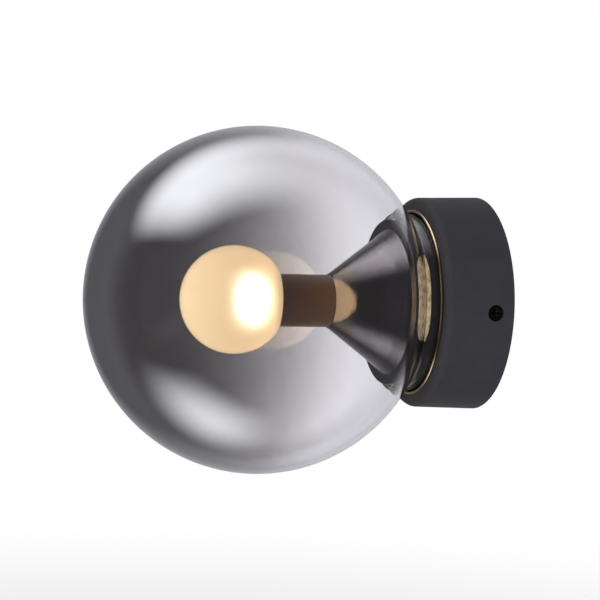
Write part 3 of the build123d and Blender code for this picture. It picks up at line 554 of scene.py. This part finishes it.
def threadTree(sizes, material):
    # rows run along the thread, and the closing rows go back through the bore to the first
    tree, given = startTree("thread", sizes)
    mesh, row, turn = wrapGrid(tree, given["rows"], given["columns"])
    last = calculate(tree, "SUBTRACT", given["rows"], 1.0 + closingRows)
    share = calculate(tree, "MINIMUM", calculate(tree, "DIVIDE", row, last), 1.0)
    atBack = calculate(tree, "GREATER_THAN", row, calculate(tree, "ADD", last, 1.5))
    share = calculate(tree, "MULTIPLY", share, calculate(tree, "SUBTRACT", 1.0, atBack))
    along = calculate(tree, "MULTIPLY", share, given["length"])
    phase = calculate(tree, "SUBTRACT", calculate(tree, "DIVIDE", along, given["pitch"]), turn)
    pointed = calculate(tree, "MULTIPLY", calculate(tree, "PINGPONG", phase, 0.5), 2.0)
    swing = calculate(tree, "COSINE", calculate(tree, "MULTIPLY", phase, 2 * math.pi))
    cut = mixNumbers(tree, given["rounded"], pointed, between(tree, swing, 1, -1, 0, 1))
    toEnd = calculate(tree, "MINIMUM", along, calculate(tree, "SUBTRACT", given["length"], along))
    runOut = calculate(tree, "MULTIPLY", between(tree, toEnd, 0, given["pitch"], 1, 0), runOutDepth)
    cut = calculate(tree, "MAXIMUM", cut, runOut)
    outer = calculate(tree, "SUBTRACT", given["crest"], calculate(tree, "MULTIPLY", cut, given["depth"]))
    afterThread = calculate(tree, "GREATER_THAN", row, calculate(tree, "ADD", last, 0.5))
    beforeLast = calculate(tree, "LESS_THAN", row, calculate(tree, "ADD", last, 2.5))
    inBore = calculate(tree, "MULTIPLY", afterThread, beforeLast)
    radius = mixNumbers(tree, inBore, outer, given["bore"])
    welded = setPlaces(tree, mesh, ringPlaces(tree, radius, turn, along), 0.01)
    flat = addNode(tree, "GeometryNodeSetShadeSmooth", {0: welded, "Shade Smooth": False}).outputs[0]
    endTree(tree, flat, material)
    return tree


def threaded(name, look, length, place, material):
    sizes = {key: look[key] for key in ("crest", "depth", "pitch", "bore", "rounded")}
    sizes["length"] = length
    sizes["rows"] = int(length / look["pitch"] * look["perTurn"]) + 1 + closingRows
    sizes["columns"] = look["around"]
    piece = makePiece(name, threadTree, sizes, material, place)
    outwards(piece)
    smoothByAngle(piece, sharpEdge)
    return piece


print("cutting threads")
capStart, capEnd = outRange("bulb_screw_cap")
capPiece = threaded("screwCapThread", capThread, capEnd - capStart, atOut(capStart), finishes["cap_metal"])
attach(capPiece, "lamp")
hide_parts("bulb_screw_cap")

nippleStart, nippleEnd = outRange("nipple")
nipplePiece = threaded("nippleThread", nippleThread, nippleEnd - nippleStart, atOut(nippleStart),
                       finishes["zinc"])
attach(nipplePiece, "canopy")
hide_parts("nipple")

screwLook = {"headDepth": 2.2, "rootGap": 0.02, "plainUnderHead": 0.4, "tolerance": 0.05}


def shrinkShank(mesh, middleOut, underHead, side, root):
    # all of the screw behind its head goes down to the root of the thread
    shape = openMesh(mesh)
    bmesh.ops.remove_doubles(shape, verts=shape.verts, dist=0.001 * mm)
    for corner in shape.verts:
        reach = math.hypot(corner.co.y + middleOut, corner.co.z)
        behind = (underHead - corner.co.x) * side
        if behind > screwLook["tolerance"] * mm and reach > root:
            corner.co.y = (corner.co.y + middleOut) * root / reach - middleOut
            corner.co.z = corner.co.z * root / reach
    closeMesh(shape, mesh)


def makeSideScrew(side, word):  # side is 1 on +x and -1 on -x
    nodeName = "side_screw_" + word
    low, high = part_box(nodeName)
    middleOut = -(low.y + high.y) / 2
    face, tail = (high.x, low.x) if side > 0 else (low.x, high.x)
    underHead = face - side * screwLook["headDepth"] * mm
    root = (screwThread["crest"] - screwThread["depth"] - screwLook["rootGap"]) * mm
    body = nodes[nodeName].data.copy()
    shrinkShank(body, middleOut, underHead, side, root)
    length = abs(underHead - tail) / mm - screwLook["plainUnderHead"]
    turned = Matrix(((0, 0, side), (0, 1, 0), (-side, 0, 0))).to_4x4()
    place = Matrix.Translation((tail, -middleOut, 0)) @ turned
    screw = threaded(word + "ScrewThread", screwThread, length, place, finishes["black_screw"])
    shape = openMesh(body, screw.data)
    for face in shape.faces:
        face.material_index = 0
    closeMesh(shape, screw.data)
    smoothByAngle(screw, sharpEdge)
    return screw


for side, word in ((1, "right"), (-1, "left")):
    screw = makeSideScrew(side, word)
    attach(screw, word + "_screw")
    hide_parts("side_screw_" + word)

washerLook = {"teeth": 14, "ringOutside": 6.5, "ringInside": 5.2, "thickness": 0.5, "toothLength": 1.15,
              "toothWidth": 1.35, "toothThickness": 0.35, "toothTurn": math.radians(16.0), "overhang": 0.35,
              "around": 72}


def washerTree(sizes, material):
    # a flat ring with twisted teeth round it
    tree, given = startTree("toothedWasher", sizes)
    both = calculate(tree, "ADD", given["ringOutside"], given["ringInside"])
    middle = metres(tree, calculate(tree, "MULTIPLY", both, 0.5))
    path = addNode(tree, "GeometryNodeCurvePrimitiveCircle", {
        "Resolution": given["around"], "Radius": middle}).outputs[0]
    width = calculate(tree, "SUBTRACT", given["ringOutside"], given["ringInside"])
    profile = addNode(tree, "GeometryNodeCurvePrimitiveQuadrilateral", {
        "Width": metres(tree, width), "Height": metres(tree, given["thickness"])}).outputs[0]
    ring = addNode(tree, "GeometryNodeCurveToMesh", {
        "Curve": path, "Profile Curve": profile, "Fill Caps": False}).outputs[0]
    past = calculate(tree, "MULTIPLY", given["toothLength"], given["overhang"])
    reach = metres(tree, calculate(tree, "ADD", given["ringOutside"], past))
    spots = addNode(tree, "GeometryNodeMeshCircle", {"Vertices": given["teeth"], "Radius": reach}).outputs[0]
    size = addNode(tree, "ShaderNodeCombineXYZ", {
        0: metres(tree, given["toothLength"]), 1: metres(tree, given["toothWidth"]),
        2: metres(tree, given["toothThickness"])}).outputs[0]
    tooth = addNode(tree, "GeometryNodeMeshCube", {"Size": size}).outputs["Mesh"]
    twist = addNode(tree, "ShaderNodeCombineXYZ", {0: given["toothTurn"]}).outputs[0]
    tooth = addNode(tree, "GeometryNodeTransform", {"Geometry": tooth, "Rotation": twist}).outputs[0]
    teeth = roundTheAxis(tree, spots, tooth, given["teeth"])
    joined = addNode(tree, "GeometryNodeJoinGeometry")
    tree.links.new(ring, joined.inputs[0])
    tree.links.new(teeth, joined.inputs[0])
    endTree(tree, joined.outputs[0], material)
    return tree


def joinPieces(name, pieces):
    first = pieces[0]
    closeMesh(openMesh(*(piece.data for piece in pieces)), first.data)
    for piece in pieces[1:]:
        bpy.data.objects.remove(piece)
    first.name = name
    return first


print("punching washers and springs")
washerFaces = sorted({round(-corner.co.y / mm, 2) for corner in nodes["lock_washers"].data.vertices})
washerPieces = []
for index, (back, front) in enumerate(zip(washerFaces[::2], washerFaces[1::2])):
    washer = makePiece("lockWasher" + str(index), washerTree, washerLook, finishes["zinc"],
                       atOut((back + front) / 2))
    outwards(washer)
    washerPieces.append(washer)
washers = joinPieces("lockWashers", washerPieces)
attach(washers, "canopy")
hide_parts("lock_washers")

springLook = {"count": 3, "radius": 37.0, "thickness": 0.3, "from": 34.2, "to": 40.0, "arc": 57.0,
              "turn": 8.0, "endNarrowing": 0.35, "endPower": 6.0, "around": 40}
springRows = 5  # the four edges of a strip, and the first again


def springTree(sizes, material):
    # one leaf is a closed strip bent round the drum, and the count repeats it round the axis
    tree, given = startTree("springLeaf", sizes)
    mesh, row, turn = wrapGrid(tree, given["rows"], given["columns"])

    def eitherSide(middle):  # 1 on the two rows next to this place
        away = calculate(tree, "ABSOLUTE", calculate(tree, "SUBTRACT", row, middle))
        return calculate(tree, "LESS_THAN", away, 0.75)

    fromMiddle = calculate(tree, "ABSOLUTE", between(tree, turn, 0, 1, -1, 1))
    most = calculate(tree, "MULTIPLY", given["height"], given["endNarrowing"])
    inset = calculate(tree, "MULTIPLY", calculate(tree, "POWER", fromMiddle, given["endPower"]), most)
    outer = calculate(tree, "MULTIPLY", eitherSide(1.5), given["thickness"])
    radius = calculate(tree, "ADD", given["radius"], outer)
    along = mixNumbers(tree, eitherSide(2.5), inset, calculate(tree, "SUBTRACT", given["height"], inset))
    bend = calculate(tree, "MULTIPLY", between(tree, turn, 0, 1, -0.5, 0.5), given["arc"])
    angle = calculate(tree, "DIVIDE", bend, 2 * math.pi)
    welded = setPlaces(tree, mesh, ringPlaces(tree, radius, angle, along), 0.001)
    spots = addNode(tree, "GeometryNodeMeshLine", {"Count": given["count"], "Offset": (0, 0, 0)}).outputs[0]
    endTree(tree, roundTheAxis(tree, spots, welded, given["count"]), material)
    return tree


springBrass = platedFinish("springBrass", {
    "dark": (0.30, 0.19, 0.085), "light": (1.0, 0.79, 0.47), "roughness": 0.36, "roughSpread": 0.12,
    "grainScale": (1, 1, 0.3), "grainSize": 1.0, "grainDepth": 0.10, "stainSize": 2.4, "metallic": 0.35,
    "from": 0.33, "to": 0.56})
springSizes = {key: springLook[key] for key in ("count", "radius", "thickness", "endNarrowing", "endPower")}
springSizes["height"] = springLook["to"] - springLook["from"]
springSizes["arc"] = math.radians(springLook["arc"])
springSizes["rows"] = springRows
springSizes["columns"] = springLook["around"]
springTurn = Matrix.Rotation(math.radians(springLook["turn"]), 4, "Z")
springs = makePiece("springLeaves", springTree, springSizes, springBrass,
                    atOut(springLook["from"]) @ springTurn)
springShape = openMesh(springs.data)
bmesh.ops.holes_fill(springShape, edges=springShape.edges, sides=8)  # the ends of each leaf
closeMesh(springShape, springs.data)
outwards(springs)
smoothByAngle(springs, sharpEdge)
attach(springs, "canopy")

beadLook = {"radius": 0.62, "gap": 0.05, "stand": 0.8, "around": 160, "section": 16, "smooth": 60}


def beadTree(sizes, material):
    tree, given = startTree("edgeBead", sizes)
    path, profile = (addNode(tree, "GeometryNodeCurvePrimitiveCircle", {
        "Resolution": given[count], "Radius": metres(tree, given[radius])}).outputs[0]
                     for count, radius in (("around", "ring"), ("section", "radius")))
    endTree(tree, addNode(tree, "GeometryNodeCurveToMesh", {
        "Curve": path, "Profile Curve": profile}).outputs[0], material)
    return tree


beadBrass = platedFinish("beadBrass", {
    "dark": (0.46, 0.35, 0.22), "light": (0.62, 0.50, 0.34), "roughness": 0.18, "roughSpread": 0.05,
    "grainSize": 0.6, "grainDepth": 0.004, "stainSize": 4.0})
beadSizes = {key: beadLook[key] for key in ("radius", "around", "section")}
beadSizes["ring"] = cupHole + beadLook["gap"] + beadLook["radius"]
bead = makePiece("edgeBead", beadTree, beadSizes, beadBrass,
                 atOut(cupFront + beadLook["radius"] * beadLook["stand"]))
outwards(bead)
smoothByAngle(bead, beadLook["smooth"])
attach(bead, "canopy")

studio = {
    "floorDrop": 420,
    "floorSize": 9000,
    "floorColour": (0.8, 0.8, 0.8),
    "floorLift": 0.4,
    "fadeFrom": 600,
    "fadeTo": 1500,
    "dim": (0.055, 0.052, 0.055),
    "rear": (0.62, 0.62, 0.65),
    "rearFrom": 0.28,
    "rearTo": 0.68,
    "rearFront": 0.15,
    "frontFrom": -0.3,
    "frontTo": 0.4,
    "diffuseShare": 0.12,
    "fillPower": 42.0,
    "fillPlace": (1.9, -1.3, 1.1),
    "fillSize": 1.6,
}

# sides are tangents from the aim, and each side fades over its own softness
softBoxes = {
    "main": {"power": 2.2, "azimuth": -164, "elevation": 72, "roll": 76,
             "left": 0.79, "right": 1.02, "bottom": 1.59, "top": 0.86,
             "softLeft": 0.64, "softRight": 0.95, "softBottom": 1.04, "softTop": 1.12},
    "low": {"power": 1.7, "azimuth": -144, "elevation": -60, "roll": 32,
            "left": 0.63, "right": 0.95, "bottom": 1.17, "top": 0.18,
            "softLeft": 0.66, "softRight": 0.87, "softBottom": 0.81, "softTop": 0.60},
}
squareOn = 0.05  # nearer than this to square with its aim, a box gives nothing


def facing(tree, direction, normal):
    node = addNode(tree, "ShaderNodeVectorMath", {0: direction, 1: normal}, operation="DOT_PRODUCT")
    return node.outputs["Value"]


def rolled(level, upright, roll):
    right = math.cos(roll) * level + math.sin(roll) * upright
    up = math.cos(roll) * upright - math.sin(roll) * level
    return right, up


def softBox(tree, direction, look):
    turn, lift, roll = (math.radians(look[key]) for key in ("azimuth", "elevation", "roll"))
    aimed = Vector((math.cos(lift) * math.cos(turn), math.cos(lift) * math.sin(turn), math.sin(lift)))
    level = Vector((-math.sin(turn), math.cos(turn), 0))
    right, up = rolled(level, aimed.cross(level), roll)
    ahead = facing(tree, direction, aimed)
    safe = calculate(tree, "MAXIMUM", ahead, squareOn)
    across = calculate(tree, "DIVIDE", facing(tree, direction, right), safe)
    along = calculate(tree, "DIVIDE", facing(tree, direction, up), safe)
    light = 1.0
    for value, dark, bright in ((across, -look["left"], look["softLeft"] - look["left"]),
                                (across, look["right"], look["right"] - look["softRight"]),
                                (along, -look["bottom"], look["softBottom"] - look["bottom"]),
                                (along, look["top"], look["top"] - look["softTop"]),
                                (ahead, squareOn, 2 * squareOn)):
        light = calculate(tree, "MULTIPLY", light, between(tree, value, dark, bright, 0, 1, smooth=True))
    return light


def background(tree, colour, strength):
    return addNode(tree, "ShaderNodeBackground", {
        "Color": wholeColour(colour), "Strength": strength}).outputs[0]


def makeWorld(look):
    # straight views see plain white, and everything that is lit or mirrors sees the studio
    world = bpy.data.worlds.new("studio")
    bpy.context.scene.world = world
    world.use_nodes = True
    tree = world.node_tree
    tree.nodes.clear()
    direction = addNode(tree, "ShaderNodeTexCoord").outputs["Generated"]
    light = calculate(tree, "ADD", *(calculate(tree, "MULTIPLY", softBox(tree, direction, box), box["power"])
                                     for box in softBoxes.values()))
    behind = between(tree, facing(tree, direction, (-1, 0, 0)), look["rearFrom"], look["rearTo"], 0, 1,
                     smooth=True)
    toWall = between(tree, facing(tree, direction, (0, 1, 0)), look["frontFrom"], look["frontTo"],
                     look["rearFront"], 1.0)
    rear = calculate(tree, "MULTIPLY", behind, toWall)
    ray = addNode(tree, "ShaderNodeLightPath").outputs
    share = between(tree, ray["Is Diffuse Ray"], 0, 1, 1, look["diffuseShare"])
    dim = background(tree, blendColours(tree, rear, look["dim"], look["rear"]), share)
    boxes = background(tree, (1, 1, 1), calculate(tree, "MULTIPLY", light, share))
    reflected = addNode(tree, "ShaderNodeAddShader", {0: dim, 1: boxes}).outputs[0]
    bounces = calculate(tree, "ADD", ray["Glossy Depth"], ray["Diffuse Depth"])
    straight = calculate(tree, "LESS_THAN", bounces, 0.5)
    views = calculate(tree, "MAXIMUM", ray["Is Camera Ray"], ray["Is Transmission Ray"])
    seen = calculate(tree, "MULTIPLY", straight, views)
    shader = mixShaders(tree, seen, reflected, background(tree, (1, 1, 1), 1.0))
    addNode(tree, "ShaderNodeOutputWorld", {"Surface": shader})


def makeFloor(look):
    half = look["floorSize"] * mm / 2
    drop = -look["floorDrop"] * mm
    corners = [(-half, -half, drop), (half, -half, drop), (half, half, drop), (-half, half, drop)]
    mesh = bpy.data.meshes.new("floor")
    mesh.from_pydata(corners, [], [(0, 1, 2, 3)])
    floor = bpy.data.objects.new("floor", mesh)
    bpy.context.scene.collection.objects.link(floor)
    material, tree = newMaterial("paleFloor")
    matt = addNode(tree, "ShaderNodeBsdfDiffuse", {"Color": wholeColour(look["floorColour"])}).outputs[0]
    lift, white = (addNode(tree, "ShaderNodeEmission", {
        "Color": (1, 1, 1, 1), "Strength": strength}).outputs[0] for strength in (look["floorLift"], 1.0))
    near = addNode(tree, "ShaderNodeAddShader", {0: matt, 1: lift}).outputs[0]
    away = distanceFrom(tree, objectPlace(tree), globeOut)
    faded = between(tree, away, look["fadeFrom"], look["fadeTo"], 0, 1, smooth=True)
    shown = mixShaders(tree, faded, near, white)
    clear = addNode(tree, "ShaderNodeBsdfTransparent").outputs[0]
    ray = addNode(tree, "ShaderNodeLightPath").outputs
    reflected = calculate(tree, "GREATER_THAN", ray["Glossy Depth"], 0.5)
    below = addNode(tree, "ShaderNodeNewGeometry").outputs["Backfacing"]
    setSurface(tree, mixShaders(tree, calculate(tree, "MAXIMUM", reflected, below), shown, clear))
    mesh.materials.append(material)


def addLight(name, kind, place, power, colour=(1, 1, 1)):
    light = bpy.data.lights.new(name, kind)
    light.energy = power
    light.color = colour
    lamp = bpy.data.objects.new(name, light)
    lamp.location = place
    bpy.context.scene.collection.objects.link(lamp)
    return lamp


def addGlowingBall(name, place, power, colour, radius):  # radius in millimetres
    ball = addLight(name, "POINT", place, power, colour)
    ball.data.shadow_soft_size = radius * mm
    ball.data.use_soft_falloff = False
    ball.visible_camera = ball.visible_glossy = False
    return ball


def aim(thing, target):
    thing.rotation_euler = (target - thing.location).to_track_quat("-Z", "Y").to_euler()


centre = Vector((0, -globeOut * mm, 0))
print("setting the stage")
makeWorld(studio)
makeFloor(studio)
fill = addLight("fill", "AREA", Vector(studio["fillPlace"]), studio["fillPower"])
fill.data.size = studio["fillSize"]
fill.visible_glossy = fill.visible_transmission = fill.visible_camera = False
aim(fill, centre)

# a ring of small lights makes the bright spot in the opal, and a large one lights what is near the lamp
for index in range(litLamp["hotCount"]):
    turn = 2 * math.pi * index / litLamp["hotCount"]
    ring = litLamp["hotRing"]
    ringPlace = Vector((math.cos(turn) * ring, -litLamp["hotOut"], math.sin(turn) * ring)) * mm
    hot = addGlowingBall("hotSpot" + str(index), ringPlace, litLamp["hotPower"] / litLamp["hotCount"],
                         litLamp["hotColour"], litLamp["hotRadius"])
    hot.visible_diffuse = False
    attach(hot, "lamp")
glow = addGlowingBall("glow", Vector((0, -ballOut * mm, 0)), litLamp["glowPower"], litLamp["glowColour"],
                      ballRadius * litLamp["glowSize"])
glow.visible_transmission = False
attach(glow, "lamp")

viewpoint = {
    "azimuth": 73.527,
    "elevation": 4.9,
    "roll": 2.312,
    "distance": 0.700,
    "lens": 97.02,
    "globePixel": (257.4, 299.8),
    "picture": 600,
    "sensor": 36.0,
}


def makeCamera(look):
    data = bpy.data.cameras.new("camera")
    camera = bpy.data.objects.new("camera", data)
    bpy.context.scene.collection.objects.link(camera)
    bpy.context.scene.camera = camera
    data.lens = look["lens"]
    data.sensor_width = look["sensor"]
    data.clip_start = 0.01
    turn, lift, roll = (math.radians(look[key]) for key in ("azimuth", "elevation", "roll"))
    back = Vector((math.sin(turn) * math.cos(lift), -math.cos(turn) * math.cos(lift), math.sin(lift)))
    level = Vector((math.cos(turn), math.sin(turn), 0))
    right, up = rolled(level, back.cross(level), roll)
    pixelSize = look["distance"] * look["sensor"] / look["lens"] / look["picture"]
    aside = (look["globePixel"][0] - look["picture"] / 2) * pixelSize
    above = (look["picture"] / 2 - look["globePixel"][1]) * pixelSize
    place = centre + back * look["distance"] - right * aside - up * above
    camera.matrix_world = Matrix.Translation(place) @ Matrix((right, up, back)).transposed().to_4x4()


makeCamera(viewpoint)
bpy.context.scene.view_settings.view_transform = "Standard"
